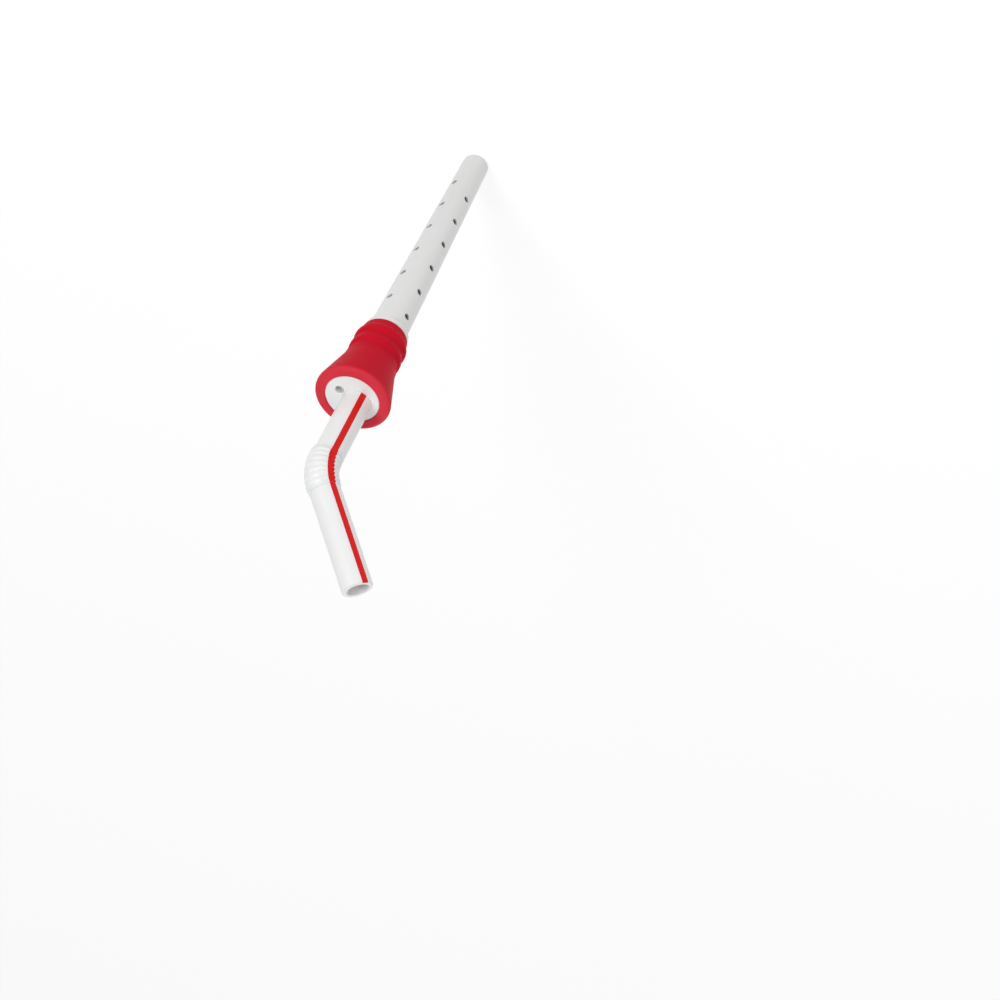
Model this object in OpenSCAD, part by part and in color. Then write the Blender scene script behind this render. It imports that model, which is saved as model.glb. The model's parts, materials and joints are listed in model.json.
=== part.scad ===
// Wine aerator pourer: a soft stopper with a bendy straw spout and a perforated aeration tube.
// Millimetres. +Z runs up the stopper's axis, towards the straw. The origin is on that axis,
// where the plug meets the flared head. The straw bends towards +X.

/* [Stopper] */
// Bore that the plug seals in
mouth_d = 18.5; // [17.5:0.1:20]
// How much wider than that bore the sealing ribs are
rib_squeeze = 0.5; // [0.2:0.1:1]
// Diameter of the flared head's big end
head_d = 26.9; // [24:0.1:32]
// Height of the head above the plug
head_h = 17.4; // [12:0.1:24]
// Rounding of the head's outer edge
head_round = 1.6; // [0.6:0.1:2]
// Rounding of the edge around the disc
lip_round = 0.4; // [0.2:0.1:0.8]
// Length of the plug
plug_len = 17; // [16:0.5:24]
// Diameter of the plug's inner end
plug_tip_d = 16.6; // [16:0.1:17.4]
// Number of sealing ribs
rib_count = 3; // [2:1:3]
// Distance from one sealing rib to the next
rib_pitch = 5.4; // [4.6:0.1:6]
// Length of each rib's cylindrical land
rib_land = 1.8; // [1:0.1:2.2]
// Length of each rib's sloping flank
rib_flank = 0.9; // [0.4:0.1:1.2]
// Height of the ribs over the plug
rib_depth = 0.8; // [0.4:0.1:1]

/* [Spout core] */
// Diameter of the disc that shows in the head
disc_d = 19.4; // [18:0.1:21]
// Thickness of the disc
disc_h = 3; // [2:0.1:4]
// How far the disc lies below the head's face
disc_recess = 0.4; // [0.2:0.1:1]
// Bevel of the disc's edge
disc_bevel = 0.25; // [0.1:0.05:0.5]
// Diameter of the barrel through the stopper
barrel_d = 14.4; // [13.4:0.1:14.8]
// Diameter of the nose that carries the aeration tube
nose_d = 11.2; // [11:0.1:12.4]
// Length of the nose
nose_len = 6.5; // [5:0.1:7]
// Depth of the socket for the straw's tail
socket_depth = 12; // [10:0.5:16]
// Diameter of the pouring channel
channel_d = 5.4; // [4.4:0.1:5.6]
// Distance of the vent hole from the stopper's axis
vent_x = 5.2; // [5.1:0.05:6]
// Diameter of the vent hole's mouth
vent_d = 3.1; // [2.4:0.1:3.2]
// Depth of the vent hole's mouth
vent_depth = 2.5; // [2:0.1:4]
// Bevel of the vent hole's edge
vent_bevel = 0.2; // [0.1:0.05:0.25]

/* [Air tube] */
// Outer diameter of the air tube
air_tube_d = 2.6; // [2.2:0.1:2.8]
// Bore of the air tube and of the channel above it
air_bore_d = 1.8; // [1.2:0.1:1.9]
// Length of the air tube
air_tube_len = 68; // [40:1:80]
// Distance along the air line from the disc's face to the tube
air_tube_start = 24; // [14:0.5:30]
// Distance of the air line from the stopper's axis at the nose's end
air_x = 3.3; // [3.1:0.05:3.5]

/* [Aeration tube] */
// Diameter of the collar that keeps the stopper on the core
collar_d = 15.8; // [15.2:0.1:16.4]
// Height of the collar
collar_h = 2.5; // [1.5:0.1:4]
// Wall of the tube
tube_wall = 1.1; // [0.8:0.1:1.5]
// Length of the tube below the stopper
tube_len = 104.5; // [100:0.5:130]
// Outer diameter of the tube at its far end
tube_tip_d = 9.9; // [9:0.1:11]
// Diameter of the holes
hole_d = 2.5; // [1.4:0.1:3]
// Distance between the holes of one column
hole_pitch = 14.4; // [10:0.1:15]
// Number of holes in each column
holes_per_column = 6; // [2:1:6]
// Number of columns around the tube
columns = 4; // [2:2:6]
// Distance from the stopper's end to the first hole
hole_start = 8.6; // [8.5:0.1:12]
// Turn of the first column around the tube
column_turn = 66.5; // [0:0.5:90]
// Height of the end cap outside the tube
cap_h = 2.2; // [1.8:0.1:4]
// Rounding of the end cap's edge
cap_round = 1.4; // [0.6:0.1:1.6]
// Length of the end cap's plug
cap_plug_len = 3; // [2:0.1:5]
// Wall of the tube around the end cap's plug
cap_wall = 0.8; // [0.5:0.1:1]

/* [Straw] */
// Distance of the straw from the stopper's axis
straw_x = 1.9; // [1.6:0.1:2]
// Outer diameter of the straw's tubes
straw_d = 10.5; // [10:0.1:11]
// Bore of the straw's tubes
straw_bore_d = 7.6; // [6.4:0.1:8]
// Diameter of the tail that plugs into the core
tail_d = 7.5; // [7:0.1:8]
// Length of the tail
tail_len = 11.6; // [8:0.1:12]
// Bore of the tail
tail_bore_d = 5.2; // [4.4:0.1:5.4]
// Bevel of the tail's end and of the tubes' edges
tube_bevel = 0.3; // [0.1:0.05:0.5]
// Height of the bend's corner above the disc
bend_h = 36.55; // [30:0.05:50]
// Distance from the bend's corner to the open end
outlet_len = 43.2; // [30:0.1:60]
// Angle that the straw is bent by
bend_angle = 41.5; // [20:0.5:60]
// Radius of the bend's centre line
bend_r = 14.4; // [14:0.1:18]
// Diameter of the necks that the bellows grips
neck_d = 9.5; // [9.2:0.1:9.8]
// Length of the root tube's neck
root_neck_len = 2.6; // [1.6:0.1:4]
// Length of the outlet tube's neck
outlet_neck_len = 1.1; // [1.1:0.1:4]

/* [Bellows] */
// Number of corrugations
corrugations = 7; // [3:1:12]
// Diameter over the corrugations
crest_d = 11.9; // [11.5:0.1:12.6]
// Diameter between the corrugations
valley_d = 11.1; // [10.9:0.1:11.4]
// Diameter of the cuffs at both ends
cuff_d = 11.7; // [11.4:0.1:12.4]
// Length of the cuffs
cuff_len = 1; // [0.6:0.1:1.1]
// Bore of the bellows
bellows_bore_d = 8.6; // [8:0.1:9]
// Width of a corrugation at its foot
crest_foot = 0.9; // [0.6:0.05:0.95]
// Width of a corrugation at its top
crest_top = 0.4; // [0.2:0.05:0.5]

/* [Stripes] */
// Width of the stripes along both sides of the straw
stripe_w = 2.2; // [1:0.1:3]
// Depth of the stripes in the straw
stripe_depth = 0.4; // [0.2:0.05:0.5]

/* [Seal] */
// Thickness of the seal ring
seal_d = 0.76; // [0.6:0.02:0.8]
// Depth of the seal's groove
groove_depth = 0.75; // [0.65:0.05:0.8]
// Width of the seal's groove
groove_w = 1; // [0.9:0.1:1.4]
// Distance from the disc's face to the groove's middle
groove_z = 6; // [3:0.5:8]

/* [Fits] */
// Clearance between pieces that stay together
fit_gap = 0.05; // [0.02:0.01:0.1]
// Clearance of the straw's tail in its socket
swivel_gap = 0.05; // [0.02:0.01:0.1]
// Clearance under the straw and at the bellows' inner shoulders
seat_gap = 0.1; // [0.05:0.01:0.3]

/* [Hidden] */
$fn = 96;

// Left is +Y, seen along the bend from behind
left = 1;
right = -1;
// Steps in a rounded edge of an outline
arc_steps = 12;
// Overshoot of cutting shapes
past = 1;

rib_r = (mouth_d + rib_squeeze) / 2;
plug_r = rib_r - rib_depth;
disc_z = head_h - disc_recess;
disc_floor_z = disc_z - disc_h;
plug_z = -plug_len;
nose_z = plug_z - nose_len;
socket_d = tail_d + 2 * swivel_gap;

// The air line runs straight from the vent hole down to the nose's end
air_drop = disc_z - nose_z;
air_tilt = atan((vent_x - air_x) / air_drop);
air_line_len = air_drop / cos(air_tilt);

tube_z = plug_z - tube_len;
tube_socket_d = nose_d + 2 * fit_gap;
tube_base_d = tube_socket_d + 2 * tube_wall;
cap_plug_d = tube_tip_d - 2 * cap_wall - 2 * fit_gap;

straw_r = straw_d / 2;
straw_z = disc_z + seat_gap;
tail_z = disc_z - tail_len;
groove_r = tail_d / 2 - groove_depth;
bend_z = disc_z + bend_h;
// Distance from the bend's corner to where its arc starts and ends
bend_reach = bend_r * tan(bend_angle / 2);
bend_len = bend_r * bend_angle * PI / 180;
root_neck_start = bend_reach + root_neck_len;
outlet_neck_start = bend_reach + outlet_neck_len;
straw_stripe_floor = straw_r - stripe_depth;
bellows_stripe_floor = valley_d / 2 - stripe_depth;

red_silicone = [0.80, 0.14, 0.22];
white_plastic = [0.95, 0.95, 0.94];
clear_plastic = [0.86, 0.88, 0.88];
stripe_red = [0.86, 0.10, 0.10];
seal_grey = [0.75, 0.75, 0.75];

// Points of a rounded edge
function arc(centre, r, from, to) = [
    for (i = [0 : arc_steps])
        let (a = from + (to - from) * i / arc_steps)
            centre + r * [cos(a), sin(a)]
];

module tube(d, bore, h) {
    difference() {
        cylinder(d = d, h = h);
        translate([0, 0, -past]) cylinder(d = bore, h = h + 2 * past);
    }
}

// Outline of one sealing rib, from its foot upwards
function rib_points(z) = [
    [plug_r, z - rib_land - rib_flank],
    [rib_r, z - rib_land],
    [rib_r, z],
    [plug_r, z + rib_flank]
];

// Outline of the head's outside: a cone that runs into the rounded edge
rim_centre = [head_d / 2 - head_round, head_h - head_round];
rim_offset = rim_centre - [rib_r, 0];
flare = atan2(rim_offset.x, rim_offset.y) + asin(head_round / norm(rim_offset));
top_rib = [for (i = [0 : 2]) rib_points(0)[i]];
lower_ribs = [for (k = [rib_count - 1 : -1 : 1]) each rib_points(-k * rib_pitch)];

module stopper() {
    bore_r = barrel_d / 2 + fit_gap;
    recess_r = disc_d / 2 + fit_gap;
    lip_centre = [recess_r + lip_round, head_h - lip_round];
    color(red_silicone)
        rotate_extrude()
            polygon(concat(
                [[bore_r, plug_z], [plug_tip_d / 2, plug_z]],
                lower_ribs,
                top_rib,
                arc(rim_centre, head_round, -flare, 90),
                arc(lip_centre, lip_round, 90, 180),
                [[recess_r, disc_floor_z], [bore_r, disc_floor_z]]
            ));
}

// Places children on the air line, which runs along their -Z
module on_air_line() {
    translate([-vent_x, 0, disc_z]) rotate([0, -air_tilt, 0]) children();
}

module spout_core() {
    seat_len = air_line_len - air_tube_start + past;
    color(white_plastic)
        difference() {
            rotate_extrude()
                polygon([
                    [0, nose_z], [nose_d / 2, nose_z], [nose_d / 2, plug_z],
                    [barrel_d / 2, plug_z], [barrel_d / 2, disc_floor_z],
                    [disc_d / 2, disc_floor_z], [disc_d / 2, disc_z - disc_bevel],
                    [disc_d / 2 - disc_bevel, disc_z], [0, disc_z]
                ]);
            translate([straw_x, 0, disc_z - socket_depth])
                cylinder(d = socket_d, h = socket_depth + past);
            translate([straw_x, 0, nose_z - past])
                cylinder(d = channel_d, h = disc_z - nose_z);
            translate([-vent_x, 0, disc_z - vent_depth])
                cylinder(d = vent_d, h = vent_depth + past);
            translate([-vent_x, 0, disc_z - vent_bevel])
                cylinder(d1 = vent_d, d2 = vent_d + 4 * vent_bevel, h = 2 * vent_bevel);
            on_air_line()
                translate([0, 0, -air_tube_start - past])
                    cylinder(d = air_bore_d, h = air_tube_start);
            on_air_line()
                translate([0, 0, -air_tube_start - seat_len])
                    cylinder(d = air_tube_d + 2 * fit_gap, h = seat_len);
        }
}

module air_tube() {
    color(clear_plastic)
        on_air_line()
            translate([0, 0, -air_tube_start - air_tube_len])
                tube(air_tube_d, air_bore_d, air_tube_len);
}

module aeration_tube() {
    socket_z = nose_z - seat_gap;
    inner_tip_r = tube_tip_d / 2 - tube_wall;
    cap_bore_r = cap_plug_d / 2 + fit_gap;
    color(white_plastic)
        difference() {
            rotate_extrude()
                polygon([
                    [tube_socket_d / 2, plug_z], [collar_d / 2, plug_z],
                    [collar_d / 2, plug_z - collar_h], [tube_base_d / 2, plug_z - collar_h],
                    [tube_tip_d / 2, tube_z], [cap_bore_r, tube_z],
                    [cap_bore_r, tube_z + cap_plug_len], [inner_tip_r, tube_z + cap_plug_len],
                    [tube_base_d / 2 - tube_wall, socket_z]
                ]);
            for (c = [0 : columns - 1], k = [0 : holes_per_column - 1])
                rotate([0, 0, column_turn + c * 360 / columns])
                    translate([0, 0, plug_z - hole_start - (k + (c % 2) / 2) * hole_pitch])
                        rotate([0, 90, 0])
                            cylinder(d = hole_d, h = tube_base_d);
        }
}

module aeration_tube_cap() {
    edge_centre = [tube_tip_d / 2 - cap_round, tube_z - cap_h + cap_round];
    color(white_plastic)
        rotate_extrude()
            polygon(concat(
                [[0, tube_z - cap_h]],
                arc(edge_centre, cap_round, -90, 0),
                [[tube_tip_d / 2, tube_z], [cap_plug_d / 2, tube_z]],
                [[cap_plug_d / 2, tube_z + cap_plug_len], [0, tube_z + cap_plug_len]]
            ));
}

// Places children with +Z along the root tube, from the bend's corner
module on_root() {
    translate([straw_x, 0, bend_z]) children();
}

// Places children with +Z along the outlet tube, from the bend's corner
module on_outlet() {
    on_root() rotate([0, bend_angle, 0]) children();
}

// A bar that cuts one stripe out of a tube along Z
module stripe_bar(side, floor, from, to) {
    translate([-stripe_w / 2, side > 0 ? floor : -floor - straw_d, from])
        cube([stripe_w, straw_d, to - from]);
}

module root_blank() {
    seat = straw_z - bend_z;
    tail_end = tail_z - bend_z;
    groove_mid = disc_z - groove_z - bend_z;
    bore_start = seat + straw_r - tail_d / 2;
    neck_end = -bend_reach - seat_gap;
    on_root()
        rotate_extrude()
            polygon([
                [tail_bore_d / 2, tail_end], [tail_d / 2 - tube_bevel, tail_end],
                [tail_d / 2, tail_end + tube_bevel], [tail_d / 2, groove_mid - groove_w / 2],
                [groove_r, groove_mid - groove_w / 2], [groove_r, groove_mid + groove_w / 2],
                [tail_d / 2, groove_mid + groove_w / 2], [tail_d / 2, seat],
                [straw_r, seat], [straw_r, -root_neck_start],
                [neck_d / 2, -root_neck_start], [neck_d / 2, neck_end],
                [straw_bore_d / 2, neck_end],
                [straw_bore_d / 2, bore_start + (straw_bore_d - tail_bore_d) / 2],
                [tail_bore_d / 2, bore_start]
            ]);
}

module root_bars(side) {
    seat = straw_z - bend_z;
    on_root() stripe_bar(side, straw_stripe_floor, seat - past, -root_neck_start + past);
}

module straw_root() {
    color(white_plastic)
        difference() {
            root_blank();
            root_bars(left);
            root_bars(right);
        }
}

module root_stripe(side) {
    color(stripe_red)
        intersection() {
            root_blank();
            root_bars(side);
        }
}

module straw_seal() {
    ring_r = (groove_r + socket_d / 2) / 2;
    color(seal_grey)
        translate([straw_x, 0, disc_z - groove_z])
            rotate_extrude()
                translate([ring_r, 0]) circle(d = seal_d);
}

module outlet_blank() {
    neck_end = bend_reach + seat_gap;
    on_outlet()
        rotate_extrude()
            polygon([
                [straw_bore_d / 2, neck_end], [neck_d / 2, neck_end],
                [neck_d / 2, outlet_neck_start], [straw_r, outlet_neck_start],
                [straw_r, outlet_len - tube_bevel], [straw_r - tube_bevel, outlet_len],
                [straw_bore_d / 2, outlet_len]
            ]);
}

module outlet_bars(side) {
    on_outlet() stripe_bar(side, straw_stripe_floor, outlet_neck_start - past, outlet_len + past);
}

module straw_outlet() {
    color(white_plastic)
        difference() {
            outlet_blank();
            outlet_bars(left);
            outlet_bars(right);
        }
}

module outlet_stripe(side) {
    color(stripe_red)
        intersection() {
            outlet_blank();
            outlet_bars(side);
        }
}

// Turn of the straw's centre line, s mm past the start of the bend
function turn_at(s) = max(0, min(bend_angle, s / bend_len * bend_angle));

// Point on the straw's centre line, s mm past the start of the bend
function line_at(s) =
    let (a = turn_at(s), straight = min(s, 0) + max(s - bend_len, 0))
        [straw_x + bend_r * (1 - cos(a)) + straight * sin(a), 0,
         bend_z - bend_reach + bend_r * sin(a) + straight * cos(a)];

// Point at a radius and an angle around the centre line, where 0 faces the bend's inside
function around_at(s, r, angle) =
    let (a = turn_at(s))
        line_at(s) + r * [cos(angle) * cos(a), sin(angle), -cos(angle) * sin(a)];

// Ends of the bellows and of its corrugated stretch, past the bend's start
bellows_start = -root_neck_len;
bellows_end = bend_len + outlet_neck_len;
ribbed_start = bellows_start + cuff_len;
ribbed_end = bellows_end - cuff_len;
rib_step = (ribbed_end - ribbed_start) / corrugations;

// Outside of the bellows as [distance past the bend's start, radius]
corrugation_points = [
    for (k = [0 : corrugations - 1])
        let (mid = ribbed_start + (k + 0.5) * rib_step)
            each [
                [mid - crest_foot / 2, valley_d / 2], [mid - crest_top / 2, crest_d / 2],
                [mid + crest_top / 2, crest_d / 2], [mid + crest_foot / 2, valley_d / 2]
            ]
];
bellows_outside = concat(
    [[bellows_start, cuff_d / 2], [ribbed_start, cuff_d / 2]],
    corrugation_points,
    [[ribbed_end, cuff_d / 2], [bellows_end, cuff_d / 2]]
);
// Inside of the bellows, from its far end back
bellows_inside = concat(
    [[bellows_end, neck_d / 2 + fit_gap], [bend_len, neck_d / 2 + fit_gap]],
    [for (k = [corrugations : -1 : 0]) [k * bend_len / corrugations, bellows_bore_d / 2]],
    [[0, neck_d / 2 + fit_gap], [bellows_start, neck_d / 2 + fit_gap]]
);

// Half the angle that a stripe takes up on the bellows
stripe_half = asin(stripe_w / valley_d);
// Angles around the bellows: the white halves, and the stripes on +Y and -Y
half_steps = 16;
half_step = (180 - 2 * stripe_half) / half_steps;
function half_angles(from) = [for (i = [0 : half_steps]) from + stripe_half + i * half_step];
function stripe_angles(mid) = [mid - stripe_half, mid, mid + stripe_half];

// One ring of the bellows, grooved for the stripes where it is on the outside
function bellows_ring(place, grooved) =
    let (s = place.x, r = place.y, floor = grooved ? bellows_stripe_floor : r)
        concat(
            [for (a = half_angles(-90)) around_at(s, r, a)],
            [for (a = stripe_angles(90)) around_at(s, floor, a)],
            [for (a = half_angles(90)) around_at(s, r, a)],
            [for (a = stripe_angles(270)) around_at(s, floor, a)]
        );

// Triangles between rings of n points, and on to the first ring again if closed
function ring_faces(rings, n, closed) = [
    for (i = [0 : rings - (closed ? 1 : 2)], j = [0 : n - 1])
        let (here = i * n, next = (i + 1) % rings * n, k = (j + 1) % n)
            each [[here + j, next + k, here + k], [here + j, next + j, next + k]]
];

module straw_bellows() {
    rings = concat(
        [for (place = bellows_outside) bellows_ring(place, true)],
        [for (place = bellows_inside) bellows_ring(place, false)]
    );
    color(white_plastic)
        polyhedron(
            points = [for (ring = rings) each ring],
            faces = ring_faces(len(rings), len(rings[0]), true)
        );
}

module bellows_stripe(side) {
    angles = stripe_angles(90 * side);
    n = 2 * len(angles);
    last = n * (len(bellows_outside) - 1);
    sections = [
        for (place = bellows_outside)
            concat(
                [for (a = angles) around_at(place.x, place.y, a)],
                [for (i = [len(angles) - 1 : -1 : 0])
                    around_at(place.x, bellows_stripe_floor, angles[i])]
            )
    ];
    start_cap = [for (j = [1 : n - 2]) [0, j, j + 1]];
    end_cap = [for (j = [1 : n - 2]) [last, last + j + 1, last + j]];
    color(stripe_red)
        polyhedron(
            points = [for (section = sections) each section],
            faces = concat(ring_faces(len(sections), n, false), start_cap, end_cap)
        );
}

stopper();
spout_core();
air_tube();
aeration_tube();
aeration_tube_cap();
straw_root();
straw_seal();
root_stripe(left);  // root_stripe_left
root_stripe(right);  // root_stripe_right
straw_bellows();
bellows_stripe(left);  // bellows_stripe_left
bellows_stripe(right);  // bellows_stripe_right
straw_outlet();
outlet_stripe(left);  // outlet_stripe_left
outlet_stripe(right);  // outlet_stripe_right
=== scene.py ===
import json
import math
import bmesh
import bpy
from mathutils import Matrix, Vector


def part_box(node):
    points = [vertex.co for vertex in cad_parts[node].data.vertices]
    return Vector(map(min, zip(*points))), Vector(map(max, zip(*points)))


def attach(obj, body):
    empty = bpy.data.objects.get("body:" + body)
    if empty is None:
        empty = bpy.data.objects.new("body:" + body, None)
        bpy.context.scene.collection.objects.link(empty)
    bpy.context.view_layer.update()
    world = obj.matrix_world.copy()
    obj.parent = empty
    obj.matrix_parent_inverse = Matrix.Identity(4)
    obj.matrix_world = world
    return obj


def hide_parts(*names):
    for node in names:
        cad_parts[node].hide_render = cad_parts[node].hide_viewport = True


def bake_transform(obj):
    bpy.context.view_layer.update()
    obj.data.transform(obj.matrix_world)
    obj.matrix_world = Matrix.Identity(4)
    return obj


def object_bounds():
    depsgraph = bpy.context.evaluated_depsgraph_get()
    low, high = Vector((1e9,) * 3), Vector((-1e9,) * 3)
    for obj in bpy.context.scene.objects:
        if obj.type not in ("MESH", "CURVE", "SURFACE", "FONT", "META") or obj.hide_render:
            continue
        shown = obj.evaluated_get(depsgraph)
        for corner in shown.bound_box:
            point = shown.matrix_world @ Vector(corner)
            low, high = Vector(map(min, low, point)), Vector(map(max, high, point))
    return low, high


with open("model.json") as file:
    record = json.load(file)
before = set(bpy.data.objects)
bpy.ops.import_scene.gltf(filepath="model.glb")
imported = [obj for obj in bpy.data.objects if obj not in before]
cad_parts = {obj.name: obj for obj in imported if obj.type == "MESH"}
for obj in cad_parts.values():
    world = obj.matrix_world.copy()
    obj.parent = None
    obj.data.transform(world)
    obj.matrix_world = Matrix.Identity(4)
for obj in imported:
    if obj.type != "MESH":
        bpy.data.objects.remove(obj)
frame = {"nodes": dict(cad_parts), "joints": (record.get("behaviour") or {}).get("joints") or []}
cad_low, cad_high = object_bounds()

# Camera
# An 85 mm lens that looks down on the open end of the straw, turned so that the straw points
# down the picture and the tube leads away behind it.
mm = 0.001
camera_place = Vector((-99.97, 557.74, 575.41)) * mm
camera_turn = [math.radians(turn) for turn in (-43.521, 16.869, 33.149)]
camera_lens = 85
camera = bpy.data.objects.new("camera", bpy.data.cameras.new("camera"))
camera.data.lens = camera_lens
camera.location = camera_place
camera.rotation_euler = camera_turn
bpy.context.scene.collection.objects.link(camera)
bpy.context.scene.camera = camera
bpy.context.scene.view_settings.view_transform = "Standard"

# Floor
# A wide white sheet just under the tip of the tube. Where it is seen, a glow lifts its lit colour to
# white, and the soft shadow that falls on it stays.
floor_half = 3.0
floor_gap = 0.2 * mm
floor_colour = (0.92, 0.92, 0.92, 1)
shadow_grey = (0.28, 0.28, 0.28, 1)
floor_glow = 0.79


def seen_directly(tree):
    """1 for what the camera sees, also mirrored or through a clear piece, and 0 for light alone."""
    path = tree.nodes.new("ShaderNodeLightPath")
    seen = path.outputs["Is Camera Ray"]
    for ray in ("Is Glossy Ray", "Is Transmission Ray"):
        either = tree.nodes.new("ShaderNodeMath")
        either.operation = "MAXIMUM"
        tree.links.new(seen, either.inputs[0])
        tree.links.new(path.outputs[ray], either.inputs[1])
        seen = either.outputs[0]
    return seen


mesh = bmesh.new()
bmesh.ops.create_grid(mesh, x_segments=1, y_segments=1, size=floor_half)
bmesh.ops.translate(mesh, verts=mesh.verts, vec=(0, 0, cad_low.z - floor_gap))
floor_mesh = bpy.data.meshes.new("floor")
mesh.to_mesh(floor_mesh)
mesh.free()
floor = bpy.data.objects.new("floor", floor_mesh)
bpy.context.scene.collection.objects.link(floor)

white_sheet = bpy.data.materials.new("white_sheet")
white_sheet.use_nodes = True
tree = white_sheet.node_tree
sheet = tree.nodes["Principled BSDF"]
sheet.inputs["Base Color"].default_value = floor_colour
sheet.inputs["Roughness"].default_value = 1
sheet.inputs["Specular IOR Level"].default_value = 0
shadowed = tree.nodes.new("ShaderNodeBsdfDiffuse")
shadowed.inputs["Color"].default_value = shadow_grey
glow = tree.nodes.new("ShaderNodeEmission")
glow.inputs["Strength"].default_value = floor_glow
whitened = tree.nodes.new("ShaderNodeAddShader")
tree.links.new(shadowed.outputs["BSDF"], whitened.inputs[0])
tree.links.new(glow.outputs["Emission"], whitened.inputs[1])
choice = tree.nodes.new("ShaderNodeMixShader")
tree.links.new(seen_directly(tree), choice.inputs["Fac"])
tree.links.new(sheet.outputs["BSDF"], choice.inputs[1])
tree.links.new(whitened.outputs["Shader"], choice.inputs[2])
tree.links.new(choice.outputs["Shader"], tree.nodes["Material Output"].inputs["Surface"])
floor_mesh.materials.append(white_sheet)

# Studio light
# A white room lights softly all round. A large soft lamp stands to the left of the camera, a weak
# one to the right opens the shadows, and one behind keeps the far side white and leaves out the
# floor. The lamps themselves don't show.
room_white = (1, 1, 1, 1)
room_level = 0.46
backdrop_level = floor_glow + shadow_grey[0] * room_level
lamps = {
    "key_lamp": {"place": (-0.50, 0.34, 0.60), "size": 0.42, "power": 3.3},
    "fill_lamp": {"place": (0.45, 0.55, 0.35), "size": 0.60, "power": 0.9},
    "back_lamp": {"place": (0.60, -0.80, 0.28), "size": 0.50, "power": 2.8},
}
lamp_aim = Vector((0, 0, 0.01))

room = bpy.data.worlds.new("white_room")
bpy.context.scene.world = room
room.use_nodes = True
tree = room.node_tree
ambient = tree.nodes["Background"]
ambient.inputs["Color"].default_value = room_white
ambient.inputs["Strength"].default_value = room_level
backdrop = tree.nodes.new("ShaderNodeBackground")
backdrop.inputs["Color"].default_value = room_white
backdrop.inputs["Strength"].default_value = backdrop_level
choice = tree.nodes.new("ShaderNodeMixShader")
tree.links.new(seen_directly(tree), choice.inputs["Fac"])
tree.links.new(ambient.outputs["Background"], choice.inputs[1])
tree.links.new(backdrop.outputs["Background"], choice.inputs[2])
tree.links.new(choice.outputs["Shader"], tree.nodes["World Output"].inputs["Surface"])

for name, lamp in lamps.items():
    light = bpy.data.lights.new(name, "AREA")
    light.shape = "DISK"
    light.size = lamp["size"]
    light.energy = lamp["power"]
    holder = bpy.data.objects.new(name, light)
    holder.location = lamp["place"]
    holder.rotation_euler = (lamp_aim - holder.location).to_track_quat("-Z", "Y").to_euler()
    holder.visible_camera = False
    bpy.context.scene.collection.objects.link(holder)
# The back lamp lights everything but the floor
left_out = bpy.data.collections.new("left_out")
left_out.objects.link(floor)
left_out.collection_objects[0].light_linking.link_state = "EXCLUDE"
bpy.data.objects["back_lamp"].light_linking.receiver_collection = left_out

# Spout core
# White moulded plastic, pressed through the stopper from its big end. Only its disc shows, with
# the small vent hole beside the straw.
disc_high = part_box("spout_core")[1]
# Painted shade: inside the vent hole the white runs into grey between these depths below the disc's face
vent_shade_top = 0.2 * mm
vent_shade_bottom = 1.2 * mm
core_white = (0.87, 0.87, 0.865)
vent_painted_shade = (0.72, 0.72, 0.72)
# The unevenness that all the moulded surfaces share
cloud_size = 6 * mm
cloud_detail = 4
cloud_low = 0.3
cloud_high = 0.7
gloss_swing = 0.05
grain_detail = 2
grain_strength = 0.5


def shader_of(material):
    """The shader of a material, which takes the values that are the same all over it."""
    return material.node_tree.nodes["Principled BSDF"]


def moulded(name, colour, mottle, roughness, grain, bump, stretch=(1, 1, 1), turn=(0, 0, 0)):
    """A moulded surface: a colour with cloudy variation, uneven gloss and a fine grain."""
    material = bpy.data.materials.new(name)
    material.use_nodes = True
    tree = material.node_tree
    shader = shader_of(material)
    place = tree.nodes.new("ShaderNodeTexCoord")
    mapping = tree.nodes.new("ShaderNodeMapping")
    mapping.vector_type = "TEXTURE"
    mapping.inputs["Scale"].default_value = stretch
    mapping.inputs["Rotation"].default_value = turn
    tree.links.new(place.outputs["Object"], mapping.inputs["Vector"])

    cloud = tree.nodes.new("ShaderNodeTexNoise")
    cloud.inputs["Scale"].default_value = 1 / cloud_size
    cloud.inputs["Detail"].default_value = cloud_detail
    tree.links.new(mapping.outputs["Vector"], cloud.inputs["Vector"])
    tint = tree.nodes.new("ShaderNodeMix")
    tint.data_type = "RGBA"
    tint.inputs["A"].default_value = (*[level * (1 - mottle) for level in colour], 1)
    tint.inputs["B"].default_value = (*[min(1, level * (1 + mottle)) for level in colour], 1)
    tree.links.new(cloud.outputs["Fac"], tint.inputs["Factor"])
    tree.links.new(tint.outputs["Result"], shader.inputs["Base Color"])
    gloss = tree.nodes.new("ShaderNodeMapRange")
    gloss.inputs["From Min"].default_value = cloud_low
    gloss.inputs["From Max"].default_value = cloud_high
    gloss.inputs["To Min"].default_value = roughness - gloss_swing
    gloss.inputs["To Max"].default_value = roughness + gloss_swing
    tree.links.new(cloud.outputs["Fac"], gloss.inputs["Value"])
    tree.links.new(gloss.outputs["Result"], shader.inputs["Roughness"])

    fine = tree.nodes.new("ShaderNodeTexNoise")
    fine.inputs["Scale"].default_value = 1 / grain
    fine.inputs["Detail"].default_value = grain_detail
    tree.links.new(mapping.outputs["Vector"], fine.inputs["Vector"])
    relief = tree.nodes.new("ShaderNodeBump")
    relief.inputs["Strength"].default_value = grain_strength
    relief.inputs["Distance"].default_value = bump
    tree.links.new(fine.outputs["Fac"], relief.inputs["Height"])
    tree.links.new(relief.outputs["Normal"], shader.inputs["Normal"])
    return material


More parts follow.
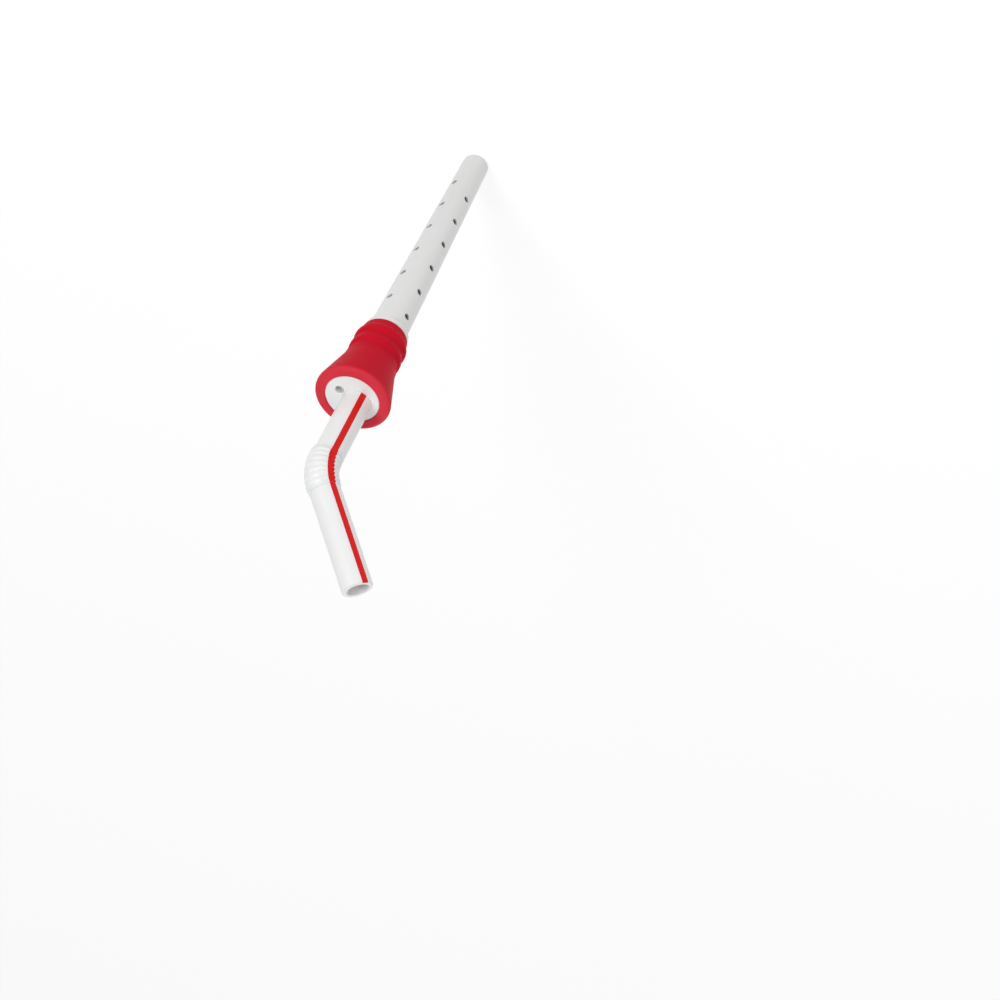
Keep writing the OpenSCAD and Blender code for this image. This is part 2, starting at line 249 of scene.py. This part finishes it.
def fade(material, colour, start, end):
    """Paints a surface lighter or darker between two heights, by letting its colour run over into another
    one.
    """
    tree = material.node_tree
    base_colour = shader_of(material).inputs["Base Color"]
    plain = base_colour.links[0].from_socket
    place = tree.nodes.new("ShaderNodeTexCoord")
    height = tree.nodes.new("ShaderNodeSeparateXYZ")
    tree.links.new(place.outputs["Object"], height.inputs["Vector"])
    share = tree.nodes.new("ShaderNodeMapRange")
    share.interpolation_type = "SMOOTHSTEP"
    share.inputs["From Min"].default_value = start
    share.inputs["From Max"].default_value = end
    tree.links.new(height.outputs["Z"], share.inputs["Value"])
    faded = tree.nodes.new("ShaderNodeMix")
    faded.data_type = "RGBA"
    faded.inputs["B"].default_value = (*colour, 1)
    tree.links.new(share.outputs["Result"], faded.inputs["Factor"])
    tree.links.new(plain, faded.inputs["A"])
    tree.links.new(faded.outputs["Result"], base_colour)


core_plastic = moulded("core_plastic", core_white, mottle=0.03, roughness=0.38,
                       grain=0.8 * mm, bump=0.015 * mm)
# Painted shade in the vent hole, darker the deeper it goes
fade(core_plastic, vent_painted_shade, disc_high.z - vent_shade_top, disc_high.z - vent_shade_bottom)
frame["nodes"]["spout_core"].data.materials[0] = core_plastic

# Stopper
# One soft crimson silicone moulding: a flared head and a plug with three sealing ribs. It is
# stretched over the core and held between the core's disc and the tube's collar.
plug_low, head_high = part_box("stopper")
plug_z = plug_low.z
face_z = head_high.z
head_round = 2.03 * mm
head_trim = 0.40 * mm
head_corner_r = head_high.x + head_trim
bore_r = 7.25 * mm
disc_gap = 0.05 * mm
disc_h = 3 * mm
recess_r = disc_high.y + disc_gap
recess_z = disc_high.z - disc_h
lip_round = 0.5 * mm
tip_r = 8.3 * mm
tip_round = 0.6 * mm
rib_r = 9.5 * mm
groove_r = 8.7 * mm
rib_land = 1.8 * mm
rib_flank = 0.9 * mm
rib_pitch = 5.4 * mm
rib_count = 3
rib_round = 0.45 * mm
shoulder_round = 1.2 * mm
silicone_red = (0.59, 0.005, 0.022)
# Painted light: near the face the red runs paler and pinker, as on a rim that catches more light
lip_painted_light = (0.70, 0.038, 0.062)
lip_light_top = 0.4 * mm
lip_light_bottom = 2.5 * mm
weld = 0.005 * mm


def piece_of(name, mesh):
    """A smooth object made from a finished mesh, with its flats shaded flat."""
    for face in mesh.faces:
        face.smooth = True
    data = bpy.data.meshes.new(name)
    mesh.to_mesh(data)
    mesh.free()
    piece = bpy.data.objects.new(name, data)
    bpy.context.scene.collection.objects.link(piece)
    shading = piece.modifiers.new("shading", "WEIGHTED_NORMAL")
    shading.keep_sharp = True
    return piece


def turned(name, corners, closed=True, steps=96, segments=6):
    """A piece turned about the Z axis, from corners of (radius, height, rounding)."""
    mesh = bmesh.new()
    verts = [mesh.verts.new((radius, 0, height)) for radius, height, rounding in corners]
    for here, there in zip(verts, verts[1:]):
        mesh.edges.new((here, there))
    if closed:
        mesh.edges.new((verts[-1], verts[0]))
    for vert, (radius, height, rounding) in zip(verts, corners):
        if rounding:
            bmesh.ops.bevel(mesh, geom=[vert], offset=rounding, offset_type="OFFSET",
                            segments=segments, profile=0.5, affect="VERTICES", material=-1)
    bmesh.ops.spin(mesh, geom=mesh.verts[:] + mesh.edges[:], axis=(0, 0, 1), cent=(0, 0, 0),
                   angle=2 * math.pi, steps=steps, use_merge=True)
    bmesh.ops.remove_doubles(mesh, verts=mesh.verts, dist=weld)
    bmesh.ops.recalc_face_normals(mesh, faces=mesh.faces)
    return piece_of(name, mesh)


def soften(material, weight, radius, scale):
    """Lets light run a short way through a material, by its share, colours and depth."""
    shader = shader_of(material)
    shader.inputs["Subsurface Weight"].default_value = weight
    shader.inputs["Subsurface Radius"].default_value = radius
    shader.inputs["Subsurface Scale"].default_value = scale


# Round the outline: from the plug's tip over the ribs to the head, and down the recess to the bore
stopper_corners = [(bore_r, plug_z, 0), (tip_r, plug_z, tip_round)]
for rib in range(rib_count - 1, -1, -1):
    top = -rib * rib_pitch
    stopper_corners.append((groove_r, top - rib_land - rib_flank, rib_round))
    stopper_corners.append((rib_r, top - rib_land, rib_round))
    if rib:
        stopper_corners.append((rib_r, top, rib_round))
        stopper_corners.append((groove_r, top + rib_flank, rib_round))
stopper_corners += [
    (rib_r, 0, shoulder_round),
    (head_corner_r, face_z, head_round),
    (recess_r, face_z, lip_round),
    (recess_r, recess_z, 0),
    (bore_r, recess_z, 0),
]
stopper = turned("silicone_stopper", stopper_corners, steps=128, segments=8)
silicone = moulded("crimson_silicone", silicone_red, mottle=0.05, roughness=0.52,
                   grain=0.35 * mm, bump=0.012 * mm)
soften(silicone, weight=0.12, radius=(1.0, 0.25, 0.2), scale=1.5 * mm)
shader_of(silicone).inputs["Specular IOR Level"].default_value = 0.06
# Painted light on the lip: the head turns paler and pinker towards its face
fade(silicone, lip_painted_light, face_z - lip_light_bottom, face_z - lip_light_top)
stopper.data.materials.append(silicone)
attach(stopper, "stopper_body")
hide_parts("stopper")

# Air tube
# Thin clear plastic tube, pressed into the core's nose below the vent. It runs down inside the
# aeration tube.
tube_clear = (0.74, 0.77, 0.77)
clear_plastic = moulded("air_tube_plastic", tube_clear, mottle=0.02, roughness=0.21,
                        grain=0.6 * mm, bump=0.005 * mm)
shader_of(clear_plastic).inputs["Transmission Weight"].default_value = 0.5
frame["nodes"]["air_tube"].data.materials[0] = clear_plastic

# Aeration tube
# Tapered white moulded tube with four staggered columns of round holes, pressed over the core's
# nose. Its collar holds the stopper up on the core.
tube_low, tube_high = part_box("aeration_tube")
tube_len = tube_high.z - tube_low.z
collar_r = tube_high.y
collar_h = 2.5 * mm
collar_z = tube_high.z - collar_h
collar_round = 0.35 * mm
socket_r = 5.65 * mm
base_r = 6.75 * mm
end_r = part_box("aeration_tube_cap")[1].x
tube_wall = 1.1 * mm
hole_r = 1.25 * mm
hole_round = 0.14 * mm
hole_pitch = 14.4 * mm
first_hole = 8.6 * mm
column_turn = math.radians(66.5)
columns = 4
rows = 12
cell_turn = 2 * math.pi / columns
cell_h = hole_pitch / 2
cell_sides = 12
hole_bands = 5
sharp_turn = math.radians(50)
round_segments = 3
tube_white = (0.82, 0.82, 0.815)
tube_stretch = (1, 1, 5)


def tube_r(depth):
    """Outer radius of the tube at a depth below the stopper."""
    return base_r + (end_r - base_r) * (depth - collar_h) / (tube_len - collar_h)


def plain_cell(mesh, turn, top, bottom):
    """A patch of plain wall on the unrolled tube, in turn and depth."""
    middle = Matrix.Translation((turn, (top + bottom) / 2, 0))
    size = Matrix.Diagonal((cell_turn, bottom - top, 1, 1))
    bmesh.ops.create_grid(mesh, x_segments=cell_sides, y_segments=cell_sides, size=0.5,
                          matrix=middle @ size)


def holed_cell(mesh, turn, depth):
    """A patch of wall with one round hole on the unrolled tube, in turn and depth."""
    middle = Matrix.Translation((turn, depth, 0))
    size = Matrix.Diagonal((cell_turn, cell_h, 1, 1))
    square = Matrix.Rotation(math.pi / 4, 4, "Z") @ Matrix.Scale(math.sqrt(0.5), 4)
    round_hole = Matrix.Diagonal((hole_r / tube_r(depth), hole_r, 1, 1))
    corners = bmesh.ops.create_circle(mesh, segments=4, radius=1, matrix=middle @ size @ square)
    sides = list({edge for vert in corners["verts"] for edge in vert.link_edges})
    cut = bmesh.ops.subdivide_edges(mesh, edges=sides, cuts=cell_sides - 1)["geom"]
    square_edges = {part for part in cut if isinstance(part, bmesh.types.BMEdge)}
    rim = bmesh.ops.create_circle(mesh, segments=4 * cell_sides, radius=1, matrix=middle @ round_hole)
    rim_edges = {edge for vert in rim["verts"] for edge in vert.link_edges}
    bridge = bmesh.ops.bridge_loops(mesh, edges=list(rim_edges | square_edges))
    bmesh.ops.subdivide_edges(mesh, edges=bridge["edges"], cuts=hole_bands - 1)


def off_wall(vert):
    """How far a vertex lies from the tube's outer wall."""
    return abs(vert.co.xy.length - tube_r(tube_high.z - vert.co.z))


# The wall is laid out flat in cells of turn and depth, rolled up and given its thickness
mesh = bmesh.new()
holes_top = first_hole - cell_h / 2
holes_bottom = holes_top + rows * cell_h
for column in range(columns):
    turn = column_turn + column * cell_turn
    plain_cell(mesh, turn, collar_h, holes_top)
    plain_cell(mesh, turn, holes_bottom, tube_len)
    for row in range(rows):
        depth = first_hole + row * cell_h
        if row % 2 == column % 2:
            holed_cell(mesh, turn, depth)
        else:
            plain_cell(mesh, turn, depth - cell_h / 2, depth + cell_h / 2)
for vert in mesh.verts:
    turn, depth = vert.co.xy
    wide = tube_r(depth)
    vert.co = (wide * math.cos(turn), wide * math.sin(turn), tube_high.z - depth)
bmesh.ops.remove_doubles(mesh, verts=mesh.verts, dist=weld)
bmesh.ops.recalc_face_normals(mesh, faces=mesh.faces)
bmesh.ops.solidify(mesh, geom=mesh.faces[:], thickness=tube_wall)

# The collar is drawn out of the wall's upper edge and closed at the socket
end_faces = [
    face for face in mesh.faces
    if all(abs(vert.co.z - collar_z) < hole_round for vert in face.verts)
]
bmesh.ops.delete(mesh, geom=end_faces, context="FACES")
open_edges = [edge for edge in mesh.edges if edge.is_boundary]
outer_loop = [edge for edge in open_edges if edge.verts[0].co.xy.length > base_r - tube_wall / 2]
inner_loop = [edge for edge in open_edges if edge not in outer_loop]
for radius, height in ((collar_r, collar_z), (collar_r, tube_high.z), (socket_r, tube_high.z)):
    made = bmesh.ops.extrude_edge_only(mesh, edges=outer_loop)["geom"]
    outer_loop = [part for part in made if isinstance(part, bmesh.types.BMEdge)]
    verts = [part for part in made if isinstance(part, bmesh.types.BMVert)]
    wider = radius / verts[0].co.xy.length
    bmesh.ops.scale(mesh, verts=verts, vec=(wider, wider, 1))
    bmesh.ops.translate(mesh, verts=verts, vec=(0, 0, height - verts[0].co.z))
bmesh.ops.bridge_loops(mesh, edges=outer_loop + inner_loop)
# The edges of the collar, the holes and the far end are rounded
mesh.normal_update()
sharp = [edge for edge in mesh.edges if edge.calc_face_angle(0) > sharp_turn]
collar_edges = [edge for edge in sharp if edge.verts[0].co.xy.length > collar_r - hole_round]
wall_edges = [
    edge for edge in sharp
    if off_wall(edge.verts[0]) < hole_round and edge.verts[0].co.z < collar_z - hole_round
]
for edges, rounding in ((collar_edges, collar_round), (wall_edges, hole_round)):
    bmesh.ops.bevel(mesh, geom=edges, offset=rounding, offset_type="OFFSET", segments=round_segments,
                    profile=0.5, affect="EDGES", material=-1)
aeration_tube = piece_of("perforated_tube", mesh)
tube_plastic = moulded("tube_plastic", tube_white, mottle=0.04, roughness=0.36,
                       grain=0.7 * mm, bump=0.02 * mm, stretch=tube_stretch)
soften(tube_plastic, weight=0.15, radius=(1.0, 0.9, 0.8), scale=1.0 * mm)
aeration_tube.data.materials.append(tube_plastic)
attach(aeration_tube, "stopper_body")
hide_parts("aeration_tube")

# Aeration tube cap
# White moulded plug with a domed edge, pushed into the tube's far end so that the liquid has to
# come in through the holes.
cap_low, cap_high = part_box("aeration_tube_cap")
cap_round = 1.4 * mm
cap_seam_z = tube_low.z
cap_seam_round = 0.15 * mm
cap_plug_r = 4.1 * mm
cap = turned("tube_cap", [
    (0, cap_low.z, 0),
    (end_r, cap_low.z, cap_round),
    (end_r, cap_seam_z, cap_seam_round),
    (cap_plug_r, cap_seam_z, 0),
    (cap_plug_r, cap_high.z, cap_seam_round),
    (0, cap_high.z, 0),
], closed=False)
cap.data.materials.append(tube_plastic)
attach(cap, "stopper_body")
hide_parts("aeration_tube_cap")

# Straw seal
# Soft grey ring in the groove of the straw's tail. It keeps the turning joint tight, and the core
# hides it.
seal_grey = (0.50, 0.50, 0.49)
seal_rubber = moulded("seal_rubber", seal_grey, mottle=0.04, roughness=0.55,
                      grain=0.3 * mm, bump=0.01 * mm)
frame["nodes"]["straw_seal"].data.materials[0] = seal_rubber

# Straw tubes
# Two straight lengths of glossy white tube: the root turns in the core's socket, and the outlet
# has a square-cut open end. Fine draw lines run along both.
bend_angle = math.radians(41.5)
straw_white = (0.88, 0.885, 0.88)
draw_stretch = (1, 1, 16)


def straw_plastic(name, grain, bump, stretch=(1, 1, 1), turn=(0, 0, 0)):
    """The white plastic of the whole straw, which lets a little light through."""
    plastic = moulded(name, straw_white, mottle=0.04, roughness=0.36,
                      grain=grain, bump=bump, stretch=stretch, turn=turn)
    soften(plastic, weight=0.2, radius=(1.0, 0.95, 0.9), scale=1.2 * mm)
    return plastic


for name, turn in (("straw_root", 0), ("straw_outlet", bend_angle)):
    drawn_plastic = straw_plastic(name + "_plastic", grain=0.9 * mm, bump=0.03 * mm,
                                  stretch=draw_stretch, turn=(0, turn, 0))
    frame["nodes"][name].data.materials[0] = drawn_plastic

# Stripes of the straw tubes
# Red plastic, drawn together with the white tubes and flush with them, one along each side. The
# elbow carries each of them on from the root to the outlet.
stripe_red = (0.72, 0.004, 0.003)
stripe_plastic = moulded("stripe_plastic", stripe_red, mottle=0.05, roughness=0.34,
                         grain=0.9 * mm, bump=0.008 * mm)
shader_of(stripe_plastic).inputs["Specular IOR Level"].default_value = 0.2
for tube in ("root", "outlet"):
    for side in ("left", "right"):
        frame["nodes"][tube + "_stripe_" + side].data.materials[0] = stripe_plastic

# Elbow
# Thin white corrugated sleeve with a plain cuff at each end, fixed over the necks of the two tubes.
# Its ribs open on the outside of the bend and close on the inside. Two hinges share the bend, so
# the elbow is drawn in two halves that meet in a crease.
hinges = {joint["name"]: Vector(joint["pos_m"]) for joint in frame["joints"]}
bend_r = 14.4 * mm
bend_len = bend_r * bend_angle
bend_start = hinges["straw_bend"] - Vector((0, 0, bend_r * math.tan(bend_angle / 4)))
bend_centre = bend_start + Vector((bend_r, 0, 0))
root_neck = 2.6 * mm
outlet_neck = 1.1 * mm
neck_r = 4.8 * mm
elbow_start = -root_neck
elbow_end = bend_len + outlet_neck
elbow_bore_r = 4.3 * mm
elbow_lean = 0.3 * mm
cuff_r = 5.6 * mm
cuff_len = 1 * mm
cuff_round = 0.35 * mm
crest_r = 5.75 * mm
crease_r = 5.37 * mm
ribs = 7
rib_fullness = 0.6
ribbed_start = elbow_start + cuff_len
ribbed_end = elbow_end - cuff_len
rib_step = (ribbed_end - ribbed_start) / ribs
seam_rib = 4
seam = ribbed_start + seam_rib * rib_step
# Shares of a half, next to the seam and to the outlet's short cuff, meant to move as one; they are only
# stored with each half
seam_hold = 0.2
outlet_hold = 0.2
rib_steps = 12
bore_steps = 4
arc_steps = 4
ring_sides = 96


def station(distance, lean=0):
    """Place on the straw's centre line past the start of the bend, leaning out of the bend."""
    turn = min(max(distance / bend_r, 0), bend_angle)
    along = Matrix.Translation((-bend_r - lean, 0, distance - turn * bend_r))
    return Matrix.Translation(bend_centre) @ Matrix.Rotation(turn, 4, "Y") @ along


def lean_at(distance):
    """How far the elbow stands out of the bend: most at the root, and nothing at the outlet."""
    return elbow_lean * (elbow_end - distance) / (elbow_end - elbow_start)


def smooth_bore(start, end):
    """Rings of the elbow's bore from one place to another, each a (place, radius)."""
    return [(start + (end - start) * i / bore_steps, elbow_bore_r) for i in range(bore_steps + 1)]


def sweep(mesh, edges, rings):
    """Draws a loop or an arc of edges through rings of (place, width, depth)."""
    for (here, from_width, from_depth), (there, to_width, to_depth) in zip(rings, rings[1:]):
        made = bmesh.ops.extrude_edge_only(mesh, edges=edges)["geom"]
        edges = [part for part in made if isinstance(part, bmesh.types.BMEdge)]
        verts = [part for part in made if isinstance(part, bmesh.types.BMVert)]
        wider = Matrix.Diagonal((to_width / from_width, to_depth / from_depth, 1, 1))
        bmesh.ops.transform(mesh, matrix=there @ wider @ here.inverted(), verts=verts)
    return edges


def bend_half(piece):
    """Bakes the placement of a piece of one half of the elbow into its mesh."""
    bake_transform(piece)


# Outlines of the sleeve, in points of (place on the centre line, radius)
quarter = [math.pi / 2 * i / arc_steps for i in range(arc_steps + 1)]
root_cuff = [
    (elbow_start + cuff_round * (1 - math.cos(turn)), cuff_r - cuff_round * (1 - math.sin(turn)))
    for turn in quarter
]
outlet_cuff = [
    (elbow_end - cuff_round * (1 - math.sin(turn)), cuff_r - cuff_round * (1 - math.cos(turn)))
    for turn in quarter
]
corrugation = []
for i in range(ribs * rib_steps + 1):
    swell = abs(math.sin(math.pi * i / rib_steps)) ** rib_fullness
    corrugation.append((ribbed_start + i * rib_step / rib_steps, crease_r + (crest_r - crease_r) * swell))
seam_step = seam_rib * rib_steps
elbow_halves = {
    "root": {
        "outside": root_cuff + corrugation[:seam_step + 1],
        "inside": smooth_bore(seam, 0) + [(0, neck_r), (elbow_start, neck_r)],
        "bodies": ("straw", "elbow"),
        "reach": (0, seam),
        "bent": (0, 1 - seam_hold),
    },
    "outlet": {
        "outside": corrugation[seam_step:] + outlet_cuff,
        "inside": [(elbow_end, neck_r), (bend_len, neck_r)] + smooth_bore(bend_len, seam),
        "bodies": ("elbow", "outlet"),
        "reach": (seam, bend_len),
        "bent": (seam_hold, 1 - outlet_hold),
    },
}
elbow_plastic = straw_plastic("elbow_plastic", grain=0.7 * mm, bump=0.015 * mm)
for name, half in elbow_halves.items():
    outer_rings = [(station(place, lean_at(place)), radius, radius) for place, radius in half["outside"]]
    inner_rings = [(station(place), radius, radius) for place, radius in half["inside"]]
    first_place, first_r = outer_rings[0][:2]
    mesh = bmesh.new()
    bmesh.ops.create_circle(mesh, segments=ring_sides, radius=first_r, matrix=first_place)
    first_loop = mesh.edges[:]
    outer_loop = sweep(mesh, first_loop, outer_rings)
    inner_loop = sweep(mesh, outer_loop, outer_rings[-1:] + inner_rings)
    bmesh.ops.bridge_loops(mesh, edges=first_loop + inner_loop)
    bmesh.ops.recalc_face_normals(mesh, faces=mesh.faces)
    for edge in first_loop + outer_loop:
        edge.smooth = False
    elbow = piece_of("corrugated_elbow_" + name, mesh)
    elbow.data.materials.append(elbow_plastic)
    bend_half(elbow)
    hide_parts("straw_bellows")

# Stripes of the elbow
# The same red plastic as on the tubes, carried over the corrugations on both sides. It is widest
# on the crests, so that its edges run in and out with the ribs, and it drifts a little towards the
# inside of the bend.
stripe_half = math.radians(11.85)
stripe_sides = 6
stripe_proud = 0.03 * mm
stripe_deep = 0.15 * mm
stripe_drift = math.radians(4)
scallop = 2.0


def elbow_stripe(name, half, way):
    """The stripe over one half of the elbow, on the side that way points to."""
    rings = []
    for place, radius in half["outside"]:
        lean = lean_at(place)
        bent = min(max(place / bend_len, 0), 1)
        drift = math.asin(lean / radius) + stripe_drift * math.sin(math.pi * bent)
        level = Matrix.Rotation(-way * drift, 4, "Z")
        width = crease_r + (radius - crease_r) * (1 + scallop)
        rings.append((station(place, lean) @ level, width, radius + stripe_proud))
    first_place, first_width, first_depth = rings[0]
    first_size = Matrix.Diagonal((first_width, first_depth, 1, 1))
    arc_start = Matrix.Rotation(way * math.pi / 2 - stripe_half, 4, "Z")
    mesh = bmesh.new()
    mesh.verts.new(arc_start @ Vector((1, 0, 0)))
    bmesh.ops.spin(mesh, geom=mesh.verts[:], axis=(0, 0, 1), cent=(0, 0, 0),
                   angle=2 * stripe_half, steps=stripe_sides)
    bmesh.ops.transform(mesh, matrix=first_place @ first_size, verts=mesh.verts)
    sweep(mesh, mesh.edges[:], rings)
    bmesh.ops.recalc_face_normals(mesh, faces=mesh.faces)
    for edge in mesh.edges:
        edge.smooth = not edge.is_boundary
    bmesh.ops.solidify(mesh, geom=mesh.faces[:], thickness=stripe_deep)
    return piece_of(name, mesh)


for side, way in (("left", 1), ("right", -1)):
    for name, half in elbow_halves.items():
        stripe = elbow_stripe("elbow_stripe_" + side + "_" + name, half, way)
        stripe.data.materials.append(stripe_plastic)
        bend_half(stripe)
        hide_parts("bellows_stripe_" + side)
